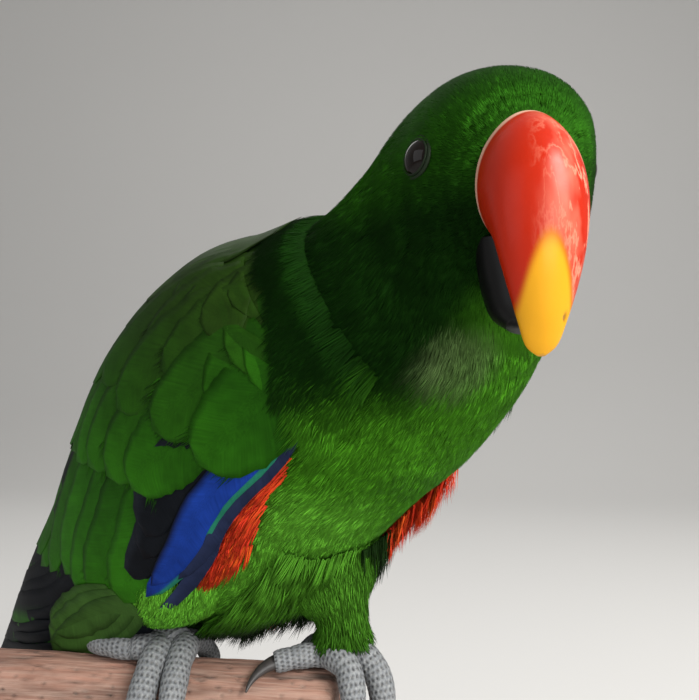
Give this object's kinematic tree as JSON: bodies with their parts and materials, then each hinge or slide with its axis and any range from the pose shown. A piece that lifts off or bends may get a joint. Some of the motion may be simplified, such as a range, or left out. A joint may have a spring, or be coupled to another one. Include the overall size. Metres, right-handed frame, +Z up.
{
  "type": "eclectus parrot model on a perch stand",
  "caption": "Life-size male eclectus parrot, green with an orange-red bill and blue wing edge, leaning forward on a short wooden perch held by a plain display stand.",
  "frame": {"origin": "middle of the stand's underside", "axes": "+Z up, X along the perch; the head faces -Y, and the body leans towards -Y and +X"},
  "size_m": [0.2382, 0.195, 0.2546],
  "materials": {
    "head_feather": "satin",
    "breast_feather": "satin",
    "leg_feather": "matt",
    "wing_feather": "satin",
    "tail_feather": "satin",
    "bill_red": "glossy",
    "bill_black": "satin",
    "eye": "wet gloss",
    "foot_skin": "matt, scaled",
    "claw": "satin",
    "ring_metal": "satin",
    "perch_wood": "bare, cracked",
    "stand_base": "satin",
    "stand_rod": "satin"
  },
  "bodies": {
    "root": {"bill_lower": "bill_black", "bill_upper": "bill_red", "claw_left_inner_back": "claw", "claw_left_inner_front": "claw", "claw_left_outer_back": "claw", "claw_left_outer_front": "claw", "claw_right_inner_back": "claw", "claw_right_inner_front": "claw", "claw_right_outer_back": "claw", "claw_right_outer_front": "claw", "eye_left": "eye", "eye_right": "eye", "foot_left": "foot_skin", "foot_right": "foot_skin", "head": "head_feather", "leg_ring": "ring_metal", "neck": "breast_feather", "perch": "perch_wood", "stand_base": "stand_base", "stand_rod_left": "stand_rod", "stand_rod_right": "stand_rod", "tail": "tail_feather", "thigh_left": "leg_feather", "thigh_right": "leg_feather", "torso": "breast_feather", "wing_left": "wing_feather", "wing_right": "wing_feather"}
  },
  "joints": []
}
